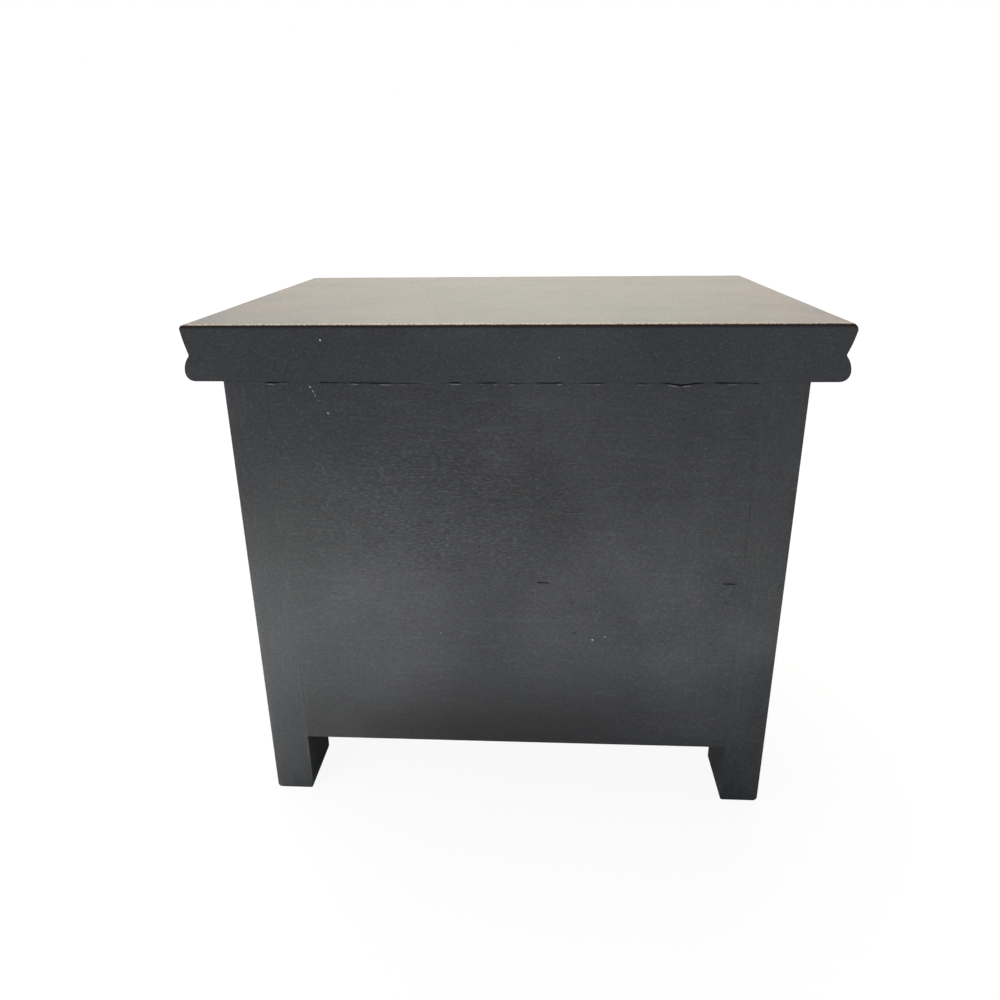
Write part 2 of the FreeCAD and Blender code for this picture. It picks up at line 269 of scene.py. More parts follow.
def painted(name, grain):
    """Satin charcoal paint over wood: brushed grain, stipple, fine cracks, rubbed edges, and painted shade where the
    mesh stores it.
    """
    n = Nodes(name)
    along = tuple(0.09 if axis == grain else 1.0 for axis in "XYZ")
    streak = n.noise(1.3 * mm, 3, along, 0.6)
    colour = n.mix(n.ramp(n.noise(60 * mm, 3), 0.3, 0.7), paint_dark, paint_mid)
    colour = n.mix(n.ramp(streak, 0.5, 0.85, 0.0, 0.1), colour, paint_speck)
    colour, grains = stipple(n, colour)
    lines = crackle(n, grain)
    weather = n.maths("ADD", n.maths("MULTIPLY", n.attribute("weather"), 1.8), 0.2)
    colour = n.mix(n.maths("MULTIPLY", lines, n.maths("MULTIPLY", weather, 0.4)), colour, paint_pit)
    brushed = n.noise(0.65 * mm, 2, tuple(0.3 if axis == grain else 1.0 for axis in "XYZ"))
    hollow = n.maths("MULTIPLY", n.ramp(brushed, 0.5, 0.3, 0.0, 0.17), weather)
    ridge = n.maths("MULTIPLY", n.ramp(brushed, 0.5, 0.7, 0.0, 0.12), weather)
    colour = n.mix(ridge, n.mix(hollow, colour, paint_pit), paint_speck)
    specks = n.maths("MULTIPLY", n.dots(9 * mm, 0.2 * mm), n.ramp(n.noise(13 * mm, 1), 0.52, 0.6))
    colour = n.mix(specks, colour, srgb(170, 170, 168))
    colour = n.mix(n.ramp(n.attribute("pale_lip"), 0.3, 0.9, 0.0, 0.6), colour, pale_lip_colour)
    colour = n.mix(n.ramp(n.attribute("pit"), 0.3, 0.75), colour, paint_pit)
    # Darkens towards the painted shade where the mesh stores it.
    colour = worn(n, n.mix(n.attribute("painted_low_shade"), colour, low_shade_colour))
    rough = n.ramp(n.noise(12 * mm, 3), 0.3, 0.7, 0.34, 0.4)
    rough = n.maths("ADD", rough, n.maths("MULTIPLY", n.attribute("painted_low_shade"), 0.4))
    normal = n.bump(streak, 0.03 * mm)
    normal = n.bump(n.maths("MULTIPLY", brushed, weather), 0.22 * mm, normal)
    normal = n.bump(lines, -0.02 * mm, normal)
    normal = n.bump(grains, 0.012 * mm, normal)
    return n.finish({"Base Color": colour, "Roughness": rough, "Specular IOR Level": 0.26, "Normal": normal})


def pale_paint():
    """Chalky off-white paint of the flecks."""
    n = Nodes("pale_paint")
    cloud = n.noise(0.4 * mm, 3)
    colour = n.mix(n.ramp(cloud, 0.3, 0.7), srgb(150, 150, 148), srgb(214, 214, 210))
    normal = n.bump(cloud, 0.02 * mm)
    return n.finish({"Base Color": colour, "Roughness": n.ramp(cloud, 0.3, 0.7, 0.5, 0.7), "Normal": normal})


def polished(name):
    """The paint on top, rubbed to a warm sheen, with a painted reddish reflection towards the two ends, a little
    dust, and painted highlight and shade at its edges.
    """
    n = Nodes(name)
    colour = n.mix(n.ramp(n.noise(60 * mm, 3), 0.3, 0.7), paint_dark, paint_mid)
    colour, grains = stipple(n, colour)
    up = n.ramp(n.facing("Z"), 0.75, 0.98)
    # Painted reflection: a reddish tone towards both ends of the upward faces, standing in for warm surroundings
    # mirrored there.
    ends = n.ramp(n.maths("ABSOLUTE", n.axis(n.place, "X")), 55 * mm, 125 * mm, 0.0, 0.17)
    painted_end_reflection = n.maths("MULTIPLY", ends, n.ramp(n.noise(22 * mm, 4, roughness=0.6), 0.3, 0.65))
    colour = n.mix(n.maths("MULTIPLY", painted_end_reflection, up), colour, srgb(150, 98, 84))
    dust = n.ramp(n.noise(30 * mm, 5, roughness=0.6), 0.25, 0.75, 0.07, 0.11)
    dust = n.maths("MULTIPLY", dust, n.ramp(n.noise(0.9 * mm, 2), 0.35, 0.65, 0.5, 1.5))
    colour = n.mix(n.maths("MULTIPLY", dust, up), colour, dust_colour)
    colour = worn(n, colour)
    rough = n.ramp(n.noise(25 * mm, 3), 0.3, 0.7, 0.36, 0.37)
    rough = n.maths("ADD", rough, n.maths("MULTIPLY", n.attribute("painted_edge_shade"), 0.4))
    normal = n.bump(n.noise(3 * mm, 2, (0.3, 1.0, 1.0)), 0.01 * mm)
    normal = n.bump(grains, 0.045 * mm, normal)
    inputs = {"Base Color": colour, "Roughness": rough, "Normal": normal}
    return n.finish({**inputs, "Specular IOR Level": 0.26})


def wood(name, grain, light, dark, ring_size, painted_front=0.0):
    """Bare sanded wood with long growth rings and pores. painted_front is how deep paint covers the front."""
    n = Nodes(name)
    along = tuple(0.05 if axis == grain else 1.0 for axis in "XYZ")
    bend = n.noise(ring_size, 1, tuple(0.07 if axis == grain else 1.0 for axis in "XYZ"), 0.4)
    ripple = n.noise(1.5 * mm, 2, tuple(0.04 if axis == grain else 1.0 for axis in "XYZ"))
    place = n.maths("ADD", n.maths("MULTIPLY", bend, 11.0), n.maths("MULTIPLY", ripple, 0.5))
    rings = n.maths("FRACT", place)
    rings = n.maths("MULTIPLY", n.ramp(rings, 0.1, 0.92), n.ramp(rings, 1.0, 0.94))
    fibre = n.noise(0.45 * mm, 4, along, 0.6)
    pores = n.noise(0.3 * mm, 1, tuple(0.1 if axis == grain else 1.0 for axis in "XYZ"))
    shade = n.noise(22 * mm, 2, tuple(0.25 if axis == grain else 1.0 for axis in "XYZ"))
    colour = n.mix(n.maths("MULTIPLY", rings, n.ramp(shade, 0.3, 0.7, 0.35, 0.95)), light, dark)
    colour = n.mix(n.ramp(fibre, 0.42, 0.75, 0.0, 0.4), colour, dark)
    colour = n.mix(n.ramp(pores, 0.32, 0.22, 0.0, 0.55), colour, srgb(96, 66, 42))
    colour = n.mix(n.ramp(shade, 0.4, 0.75, 0.0, 0.3), colour, srgb(226, 204, 168))
    rough = n.ramp(fibre, 0.3, 0.7, 0.55, 0.72)
    if painted_front:
        wander = n.ramp(n.noise(4 * mm, 4, roughness=0.7), 0.3, 0.7, -0.6 * mm, 0.6 * mm)
        edge = n.maths("ADD", n.axis(n.place, "Y"), wander)
        cover = n.ramp(edge, front_y + painted_front + 0.15 * mm, front_y + painted_front - 0.15 * mm)
        colour = n.mix(cover, colour, paint_mid)
        rough = n.maths("MULTIPLY", rough, n.ramp(cover, 0.0, 1.0, 1.0, 0.65))
    normal = n.bump(fibre, 0.05 * mm)
    normal = n.bump(pores, 0.04 * mm, normal)
    return n.finish({"Base Color": colour, "Roughness": rough, "Specular IOR Level": 0.3, "Normal": normal})


def plywood(name):
    """Thin plywood with a fine open grain."""
    n = Nodes(name)
    fibre = n.noise(0.6 * mm, 4, (1.0, 0.05, 1.0), 0.65)
    cloud = n.noise(25 * mm, 3, (1.0, 0.3, 1.0))
    colour = n.mix(n.ramp(cloud, 0.3, 0.7), srgb(206, 176, 132), srgb(188, 154, 108))
    colour = n.mix(n.ramp(fibre, 0.45, 0.8, 0.0, 0.5), colour, srgb(142, 104, 64))
    normal = n.bump(fibre, 0.06 * mm)
    rough = n.ramp(fibre, 0.3, 0.7, 0.6, 0.75)
    return n.finish({"Base Color": colour, "Roughness": rough, "Specular IOR Level": 0.3, "Normal": normal})


def steel(name, bright, dull):
    """Plated steel, unevenly dulled, with fine drawing marks."""
    n = Nodes(name)
    tarnish = n.noise(3 * mm, 4, roughness=0.65)
    marks = n.noise(0.3 * mm, 2, (1.0, 1.0, 0.1))
    colour = n.mix(n.ramp(tarnish, 0.4, 0.7), bright, dull)
    rough = n.ramp(tarnish, 0.3, 0.7, 0.28, 0.5)
    normal = n.bump(marks, 0.02 * mm)
    return n.finish({"Base Color": colour, "Metallic": 1.0, "Roughness": rough, "Normal": normal})


paint_top = polished("charcoal_paint_top")
paint_x = painted("charcoal_paint_long", "X")
paint_z = painted("charcoal_paint_upright", "Z")
pine_light, pine_dark = srgb(210, 180, 136), srgb(174, 134, 90)
alder_light, alder_dark = srgb(208, 176, 134), srgb(168, 128, 88)


def shaded(mesh, sharp_angle=35):
    """Smooth shading, with a crisp edge wherever two faces meet at more than the angle."""
    mesh.shade_smooth()
    mesh.set_sharp_from_angle(angle=math.radians(sharp_angle))


def add_piece(name, mesh, material, body, nodes):
    """Adds a mesh as a piece that rides on a body and stands for CAD nodes."""
    piece = bpy.data.objects.new(name, mesh)
    bpy.context.scene.collection.objects.link(piece)
    mesh.materials.append(material)
    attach(piece, body)
    if nodes:
        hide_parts(*nodes)
    return piece


def store(mesh, name, values):
    """Keeps one number for each vertex, for the material to read."""
    mesh.attributes.new(name, "FLOAT", "POINT").data.foreach_set("value", np.asarray(values, dtype=np.float32))


def lattice_noise(u, v, seed):
    """Smooth noise from -1 to 1 over a plane, with one bump to a unit."""
    table = np.random.default_rng(seed).uniform(-1, 1, (256, 256))
    whole_u, whole_v = np.floor(u).astype(int), np.floor(v).astype(int)
    part_u, part_v = u - whole_u, v - whole_v
    part_u, part_v = part_u**2 * (3 - 2 * part_u), part_v**2 * (3 - 2 * part_v)

    def corner(du, dv):
        return table[(whole_u + du) % 256, (whole_v + dv) % 256]

    low = corner(0, 0) * (1 - part_u) + corner(1, 0) * part_u
    high = corner(0, 1) * (1 - part_u) + corner(1, 1) * part_u
    return low * (1 - part_v) + high * part_v


def arc(centre, radius, start, end, steps):
    """Points (out, up) on an arc, angles in degrees from straight out."""
    points = []
    for step in range(steps + 1):
        angle = math.radians(start + (end - start) * step / steps)
        points.append((centre[0] + radius * math.cos(angle), centre[1] + radius * math.sin(angle)))
    return points


def blend(first, second, share):
    """The point or pair that lies a share of the way from the first to the second."""
    return tuple(a + (b - a) * share for a, b in zip(first, second))


def moulding(edge_radius, bead_inset):
    """The moulded edge as points (out from the case, up from the soffit), from the soffit to the top face."""
    bead_out = overhang - bead_inset
    thickness = top_z - soffit_z
    bead_rise = notch_height - bead_lower_radius
    notch_angle = math.degrees(math.asin(bead_rise / bead_upper_radius))
    notch_out = bead_out - bead_upper_radius + math.sqrt(bead_upper_radius**2 - bead_rise**2)
    notch = (notch_out, notch_height)
    nosing_out = overhang - nosing_setback
    fascia_top = thickness - edge_radius
    fascia_rise, fascia_in = fascia_top - notch_height, nosing_out - notch_out
    fascia_radius = (fascia_rise**2 + fascia_in**2) / (2 * fascia_in)
    fascia_angle = math.degrees(math.asin(fascia_rise / fascia_radius))
    soft = math.degrees(notch_fillet / bead_upper_radius)
    lower = arc((bead_out - bead_lower_radius, bead_lower_radius), bead_lower_radius, -90, 0, 8)
    upper = arc((bead_out - bead_upper_radius, bead_lower_radius), bead_upper_radius, 0, notch_angle - soft, 8)
    soft = math.degrees(notch_fillet / fascia_radius)
    curve = arc((nosing_out - fascia_radius, fascia_top), fascia_radius, soft - fascia_angle, 0, 12)
    fascia = []
    for out, up in curve:
        chord_out = notch_out + fascia_in * (up - notch_height) / fascia_rise
        fascia.append((out + (chord_out - out) * fascia_flatness, up))
    fillet = []
    for step in range(1, 5):
        share = step / 5
        fillet.append(blend(blend(upper[-1], notch, share), blend(notch, fascia[0], share), share))
    nosing = arc((nosing_out - edge_radius, fascia_top), edge_radius, 0, 90, 8)
    return lower + upper[1:] + fillet + fascia + nosing[1:]


def back_edge(up):
    """How far the eased back edge of the top stands in from the back at a height over the soffit."""
    rise = up - (top_z - soffit_z - top_back_radius)
    if rise <= 0:
        return 0.0
    return top_back_radius - math.sqrt(max(top_back_radius**2 - rise**2, 0.0))


def loop_round(out, up):
    """The path round three sides of the top at one distance out and one height, from the left back to the right."""
    half = case_half + out
    near, far = front_y - out, back_y - back_edge(up)
    radius = max(top_corner_radius - (overhang - out), inner_corner_radius)
    side_steps = round((back_y - front_y) / top_grid)
    front_steps = round(2 * case_half / top_grid)
    path = []
    for step in range(side_steps + 1):
        path.append((-half, far + (near + radius - far) * step / side_steps))
    for angle in (22.5, 45, 67.5):
        turn = math.radians(angle)
        path.append((-half + radius * (1 - math.cos(turn)), near + radius * (1 - math.sin(turn))))
    for step in range(front_steps + 1):
        path.append(((half - radius) * (2 * step / front_steps - 1), near))
    left_part = path[: side_steps + 4]
    path += [(-x, y) for x, y in reversed(left_part)]
    return [(x, y, soffit_z + up) for x, y in path]


def wobble(points, depth, size, seed):
    """Moves points a little towards the middle of the top, unevenly, as hand sanding leaves a board."""
    places = np.array(points)
    centre = np.array([0.0, (front_y + back_y) / 2, (soffit_z + top_z) / 2])
    u = places[:, 0] / size + 40 + 3.1 * places[:, 2] / size
    v = places[:, 1] / size + 40 + 1.7 * places[:, 2] / size
    amount = depth * (lattice_noise(u, v, seed) - 1) / 2
    way = np.sign(places - centre) * (np.abs(places - centre) > np.array([0.1, 0.08, 0.0098]))
    way[:, 1] *= np.clip((places[:, 2] - soffit_z) / (3 * mm), 0, 1)
    return places + way * amount[:, None]


def top_board():
    """The one-piece top: moulded ends and front with mitred corners, flush back with an eased upper edge."""
    steps = range(1, 47)
    ends = []
    for radius, inset in ((rubbed_edge_radius, rubbed_bead_inset), (crisp_edge_radius, 0.0)):
        profile = moulding(radius, inset)
        rows = profile + [(profile[-1][0] - top_grid * step, top_z - soffit_z) for step in steps]
        ends.append([place for out, up in rows for place in loop_round(out, up)])
    half = case_half + overhang
    points = [blend(rubbed, crisp, (crisp[0] + half) / (2 * half)) for rubbed, crisp in zip(*ends)]
    width = len(points) // len(rows)
    faces = []
    for row in range(len(rows) - 1):
        for column in range(width - 1):
            corner = row * width + column
            faces.append((corner, corner + 1, corner + width + 1, corner + width))

    last = (len(rows) - 1) * width
    side_steps = round((back_y - front_y) / top_grid)
    for step in range(side_steps):
        left, right = last + step, last + width - 1 - step
        faces.append((left, left + 1, right - 1, right))
    faces.append(tuple(range(last + side_steps, last + width - side_steps)))

    edge_rows = len(profile)
    top_line = [(edge_rows - 1 + step) * width + width - 1 for step in (0, *steps)]
    top_line += [(edge_rows - 1 + step) * width for step in reversed((0, *steps))]
    right_x, left_x = points[top_line[0]][0], points[top_line[-1]][0]
    shares = [(points[index][0] - left_x) / (right_x - left_x) for index in top_line[1:-1]]
    grid = []
    for row in range(edge_rows - 1):
        left, right = row * width, row * width + width - 1
        grid.append([right] + list(range(len(points), len(points) + len(shares))) + [left])
        points += [blend(points[left], points[right], share) for share in shares]
    grid.append(top_line)
    for lower, upper in zip(grid, grid[1:]):
        for column in range(len(lower) - 1):
            faces.append((lower[column], lower[column + 1], upper[column + 1], upper[column]))
    faces.append(tuple(reversed(range(width))) + tuple(reversed(grid[0][1:-1])))

    places = wobble(points, 0.1 * mm, 14 * mm, 3)
    mesh = bpy.data.meshes.new("moulded_top")
    mesh.from_pydata([tuple(place) for place in places], [], faces)
    mesh.validate()
    bm = bmesh.new()
    bm.from_mesh(mesh)
    bmesh.ops.recalc_face_normals(bm, faces=bm.faces)
    bm.to_mesh(mesh)
    bm.free()
    shaded(mesh)
    wear_and_edge_highlight, painted_edge_shade = [], []
    for x, y, z in places:
        side = min(case_half + overhang - abs(x), y - (front_y - overhang), back_y - y) / mm
        below = (top_z - z) / mm
        # Pale rubbed paint round the top's upper edges: partly real wear, partly a painted highlight where the
        # rounded edge catches the light.
        wear_and_edge_highlight.append(math.exp(-((side / 3.0) ** 2) - (below / 0.45) ** 4))
        # Painted shade: a dark line just under the top's edge, where the eased curve turns away from the light.
        painted_edge_shade.append((side < 1.5) * max(0.0, min((below - 0.25) / 0.25, 1.0)) * math.exp(-max(below - 0.9, 0) / 0.6))
    store(mesh, "wear_and_edge_highlight", wear_and_edge_highlight)
    store(mesh, "painted_edge_shade", painted_edge_shade)
    return add_piece("moulded_top", mesh, paint_top, "case", ["top_board"])


def spans(start, end, step):
    """Evenly spaced levels strictly between two ends."""
    count = max(round((end - start) / step), 1)
    return [start + (end - start) * n / count for n in range(1, count)]


def board(name, outline, axis, low, high, radius, rounded, fine_levels=()):
    """A board of an outline across one axis. rounded(middle, along) says which of its edges are eased.

    fine_levels are heights at which the board gets further rows of vertices.
    """
    others = [number for number in range(3) if number != axis]
    bm = bmesh.new()
    rings = []
    for level in (low, high):
        ring = []
        for pair in outline:
            place = Vector((0, 0, 0))
            place[axis], place[others[0]], place[others[1]] = level, pair[0], pair[1]
            ring.append(bm.verts.new(place))
        rings.append(ring)
    bm.faces.new(rings[0])
    bm.faces.new(list(reversed(rings[1])))
    for start in range(len(outline)):
        end = (start + 1) % len(outline)
        bm.faces.new((rings[0][start], rings[1][start], rings[1][end], rings[0][end]))
    bmesh.ops.recalc_face_normals(bm, faces=bm.faces)
    hard = []
    for edge in bm.edges:
        along = (edge.verts[1].co - edge.verts[0].co).normalized()
        middle = (edge.verts[0].co + edge.verts[1].co) / 2
        if edge.calc_face_angle(0.0) > math.radians(40) and rounded(middle, along):
            hard.append(edge)
    lines = [(edge.verts[0].co.copy(), edge.verts[1].co.copy()) for edge in hard]
    bmesh.ops.bevel(bm, geom=hard, offset=radius, segments=3, profile=0.5, affect="EDGES", clamp_overlap=True)
    for number in range(3):
        levels = [vert.co[number] for vert in bm.verts]
        normal = Vector((0, 0, 0))
        normal[number] = 1
        extra = list(fine_levels) if number == 2 else []
        for level in spans(min(levels), max(levels), board_grid) + extra:
            geometry = bm.verts[:] + bm.edges[:] + bm.faces[:]
            bmesh.ops.bisect_plane(bm, geom=geometry, plane_co=normal * level, plane_no=normal)
    mesh = bpy.data.meshes.new(name)
    bm.to_mesh(mesh)
    bm.free()
    shaded(mesh)
    wear_along(mesh, lines, radius)
    return mesh


def wear_along(mesh, lines, radius):
    """Stores how near each vertex is to an edge that hands and cloths rub."""
    places = np.array([vert.co for vert in mesh.vertices])
    nearest = np.full(len(places), 1.0)
    for start, end in lines:
        start, way = np.array(start), np.array(end - start)
        share = np.clip((places - start) @ way / (way @ way), 0, 1)
        nearest = np.minimum(nearest, np.linalg.norm(places - start - share[:, None] * way, axis=1))
    store(mesh, "wear_and_edge_highlight", 0.55 * np.exp(-((nearest / (1.1 * radius)) ** 2)))


def side_outline():
    """A side board seen from the side, (y, z): two feet with a cut-out between them."""
    outline = [(front_y, 0.0), (front_y + foot_depth, 0.0)]
    radius = foot_cut_radius
    near, far = front_y + foot_depth + radius, back_y - foot_depth - radius
    level = foot_cut_height - radius
    outline += arc((near, level), radius, 180, 90, 8)
    outline += arc((far, level), radius, 90, 0, 8)
    outline += [(back_y - foot_depth, 0.0), (back_y, 0.0), (back_y, soffit_z), (front_y, soffit_z)]
    return outline


def round_feet(mesh, low, high):
    """Draws the bottom few rows of a side board in, so that its two feet stand on rounded edges."""
    middle_x, half_x = (low + high) / 2, (high - low) / 2
    half_y = foot_depth / 2
    for vert in mesh.vertices:
        short = foot_edge_radius - vert.co.z
        if short > 0:
            inset = foot_edge_radius - math.sqrt(foot_edge_radius**2 - short**2)
            middle_y = front_y + half_y if vert.co.y < (front_y + back_y) / 2 else back_y - half_y
            vert.co.x = middle_x + (vert.co.x - middle_x) * (1 - inset / half_x)
            vert.co.y = middle_y + (vert.co.y - middle_y) * (1 - 0.25 * inset / half_y)


def side_board(name, low, high):
    """A side board. Its outer upright edges and its feet are eased, and its edge against the back panel isn't."""

    def rounded(middle, along):
        if middle.z > soffit_z - mm or middle.z < mm:
            return False
        inside = abs(middle.x) < inner_x + mm
        if inside and abs(along.z) > 0.5 and middle.z > foot_cut_height:
            return False
        return True

    rows = [foot_edge_radius * share for share in (0.04, 0.14, 0.3, 0.5, 0.75, 1.0)]
    mesh = board(name, side_outline(), 0, low, high, side_edge_radius / 2, rounded, rows)
    round_feet(mesh, low, high)
    return add_piece(name + "_shaped", mesh, paint_z, "case", [name])


def panel_levels(low, high, coarse, fine_ranges):
    """Grid levels from low to high, closer together inside the fine ranges."""
    stops = [low]
    while stops[-1] < high:
        here = stops[-1]
        step = panel_fine_grid if any(a <= here < b for a, b in fine_ranges) else coarse
        stops.append(here + step)
    stops[-1] = high
    return np.array(stops)


def dashes(x, z):
    """How open the cracks over the joint and the staple slits are, and how far above its line each place is."""
    line = soffit_z - joint_drop + 0.22 * mm * lattice_noise(x / (7 * mm) + 60, x * 0, 21)
    line = line + 0.07 * mm * lattice_noise(x / (1.4 * mm) + 90, x * 0, 22)
    line = line - 0.8 * mm * np.exp(-(((x + 60 * mm) / (4.5 * mm)) ** 2))
    strength = np.zeros_like(x)
    for start, end in joint_cracks:
        strength = np.maximum(strength, np.clip(np.minimum(x - start * mm, end * mm - x) / (1.6 * mm), 0, 1))
    strength = np.maximum(strength, 0.35 * (x < joint_cracks[-1][1] * mm) * (x > joint_cracks[0][0] * mm))
    strength *= 0.75 + 0.35 * lattice_noise(x / (3.5 * mm) + 30, x * 0, 23)
    above = z - line
    strength *= z > soffit_z - 20 * mm
    for slit_x, slit_z in staple_slits:
        near = (np.abs(z - slit_z * mm) < 3 * mm) & (np.abs(x - slit_x * mm) < 2 * slit_half_length)
        along = np.clip((slit_half_length - np.abs(x - slit_x * mm)) / (0.8 * mm), 0, 1)
        strength = np.where(near, along, strength)
        above = np.where(near, 0.65 * (z - slit_z * mm - 0.03 * (x - slit_x * mm)), above)
    return np.clip(strength, 0, 1), above


def panel_marks(x, z):
    """The back's marks: how deep they go, and the material's pit, pale lower lip and weather at each place."""
    strength, above = dashes(x, z)
    open_part = strength * np.exp(-((above / crack_width) ** 2))
    patchy = np.clip(2 * lattice_noise(x / (2.6 * mm) + 10, z / (2.6 * mm) + 10, 24) + 0.4, 0, 1)
    # Paler paint just below each crack and slit.
    pale_lip = strength * patchy * np.exp(-(((above + 2.4 * crack_width) / crack_width) ** 2))
    pale_lip = np.where(z > soffit_z - 20 * mm, pale_lip, 0.25 * pale_lip)
    depth = np.where(z > soffit_z - 20 * mm, crack_depth, slit_depth) * open_part
    pit = open_part
    for pit_x, pit_z in paint_pits:
        column = x[0, np.argmin(np.abs(x[0] - pit_x * mm))]
        row = z[np.argmin(np.abs(z[:, 0] - pit_z * mm)), 0]
        dent = np.exp(-((np.hypot(x - column, z - row) / pit_radius) ** 2))
        depth, pit = depth + 0.25 * mm * dent, np.maximum(pit, dent)
    from_side = (np.minimum(x - panel_low.x, panel_high.x - x) - 0.3 * mm) / (0.25 * mm)
    clear = lattice_noise(z / (9 * mm) + 70, x * 0 + 5 * np.sign(x), 25) + np.where(x < 0, 0.1, -0.3)
    clear = np.clip(clear + 0.5 * lattice_noise(z / (1.7 * mm) + 70, x * 0, 26), 0, 1)
    seam = clear * np.exp(-(from_side**2))
    weather = 0.85 * np.exp(-(((x - 26 * mm) / (50 * mm)) ** 2) - ((z - 135 * mm) / (34 * mm)) ** 2)
    weather = weather * (1 + 0.35 * lattice_noise(x / (16 * mm) + 20, z / (9 * mm) + 20, 27))
    return depth + 0.12 * mm * seam, np.maximum(pit, 0.55 * seam), pale_lip, weather


def panel_surface(x, z, weather):
    """How far the painted back stands in from the plane of the side boards: grain and slow ripples."""
    grain = 0.014 * mm * (1 + weather) * lattice_noise(x / (5 * mm) + 50, z / (0.9 * mm) + 20, 11)
    ripple = 0.05 * mm * (lattice_noise(x / (34 * mm) + 50, z / (21 * mm) + 20, 12) - 1)
    return grain + ripple - 0.03 * mm


def back_panel():
    """The back: one fine sheet over a flat board, flush with the side boards and the top."""
    low, high = panel_low.x - 0.1 * mm, panel_high.x + 0.1 * mm
    sides = [(low, low + 1.0 * mm), (high - 1.0 * mm, high)]
    slit_rows = (staple_slits[0][1] * mm - 0.8 * mm, staple_slits[1][1] * mm + 0.8 * mm)
    columns = panel_levels(low, high, panel_grid, sides)
    rows = panel_levels(panel_low.z, soffit_z, panel_grid, [slit_rows, (soffit_z - 2.4 * mm, soffit_z)])
    x, z = np.meshgrid(columns, rows)
    depth, pit, pale_lip, weather = panel_marks(x, z)
    drop = np.clip(panel_low.z + back_edge_radius - z, 0, back_edge_radius)
    eased = back_edge_radius - np.sqrt(back_edge_radius**2 - drop**2)
    y = panel_high.y + np.minimum(panel_surface(x, z, weather), 0) - depth - eased
    points = np.stack([x, y, z], axis=-1).reshape(-1, 3).tolist()
    wide, tall = len(columns), len(rows)
    faces = []
    for row in range(tall - 1):
        for column in range(wide - 1):
            corner = row * wide + column
            faces.append((corner, corner + wide, corner + wide + 1, corner + 1))
    rim = [column for column in range(wide)]
    rim += [row * wide + wide - 1 for row in range(1, tall)]
    rim += [(tall - 1) * wide + column for column in reversed(range(wide - 1))]
    rim += [row * wide for row in reversed(range(1, tall - 1))]
    first = len(points)
    points += [(points[index][0], panel_low.y, points[index][2]) for index in rim]
    for start in range(len(rim)):
        end = (start + 1) % len(rim)
        faces.append((rim[start], rim[end], first + end, first + start))
    faces.append(tuple(range(first, first + len(rim))))
    mesh = bpy.data.meshes.new("painted_back")
    mesh.from_pydata(points, [], faces)
    shaded(mesh)
    # Painted shade: darker low in the middle of the back, where the floor in front lies in the box's own shadow.
    painted_low_shade = 0.5 * np.exp(-(((x - 15 * mm) / (80 * mm)) ** 2) - ((z - panel_low.z) / (31 * mm)) ** 3)
    painted_low_shade = painted_low_shade * (1 + 0.1 * lattice_noise(x / (26 * mm) + 40, z / (12 * mm) + 40, 28))
    for name, values in (("pit", pit), ("pale_lip", pale_lip), ("weather", weather), ("painted_low_shade", painted_low_shade)):
        store(mesh, name, np.concatenate([values.reshape(-1), np.zeros(len(rim))]))
    return add_piece("painted_back", mesh, paint_x, "case", ["back_panel"])


def blister(bm, centre, way, length, width, turn):
    """A low rough-edged drop of paint on the back, of the given size, drawn out along a direction (x, z)."""
    sides = 9
    across = (-way[1], way[0])
    top = bm.verts.new((centre[0], back_y - 0.004 * mm, centre[1]))
    rings = []
    for share, y in ((0.55, back_y - 0.012 * mm), (1.0, back_y - 0.2 * mm)):
        ring = []
        for side in range(sides):
            angle = 2 * math.pi * side / sides
            rough = share * (1 + 0.25 * math.sin(3 * angle + turn) + 0.15 * math.sin(5 * angle + 2 * turn))
            u, v = length * rough * math.cos(angle), width * rough * math.sin(angle)
            ring.append(bm.verts.new((centre[0] + u * way[0] + v * across[0], y, centre[1] + u * way[1] + v * across[1])))
        rings.append(ring)
    for side in range(sides):
        after = (side + 1) % sides
        bm.faces.new((top, rings[0][side], rings[0][after]))
        bm.faces.new((rings[0][side], rings[1][side], rings[1][after], rings[0][after]))
    bm.faces.new(list(reversed(rings[1])))


def pale_marks():
    """The pale flecks of paint and the scratch under the top's left end, seen from behind."""
    bm = bmesh.new()
    for number, (x, z) in enumerate(pale_flecks):
        blister(bm, (x * mm, z * mm), (0.3, 0.95), 0.55 * mm / (1 + 0.25 * number), 0.36 * mm / (1 + 0.2 * number), number)
    for number, (start, end) in enumerate(zip(scratch_line, scratch_line[1:])):
        way = Vector((end[0] - start[0], end[1] - start[1])).normalized()
        middle = ((start[0] + end[0]) / 2 * mm, (start[1] + end[1]) / 2 * mm)
        blister(bm, middle, way, (0.8 - 0.12 * number) * mm, (0.2 - 0.035 * number) * mm, number + 1)
    bmesh.ops.recalc_face_normals(bm, faces=bm.faces)
    mesh = bpy.data.meshes.new("pale_marks")
    bm.to_mesh(mesh)
    bm.free()
    shaded(mesh, 60)
    return add_piece("pale_marks", mesh, pale_paint(), "case", [])


def drawer_front(drawer):
    """A drawer front with rebated ends and a softened face."""
    low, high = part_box(drawer + "_front")
    lap_y = high.y - front_lap
    inset = drawer_side_thickness
    outline = [
        (low.x, low.y),
        (high.x, low.y),
        (high.x, lap_y),
        (high.x - inset, lap_y),
        (high.x - inset, high.y),
        (low.x + inset, high.y),
        (low.x + inset, lap_y),
        (low.x, lap_y),
    ]

    def rounded(middle, along):
        return middle.y < low.y + mm

    mesh = board(drawer + "_face", outline, 2, low.z, high.z, front_edge_radius, rounded)
    return add_piece(drawer + "_face", mesh, paint_x, drawer, [drawer + "_front"])


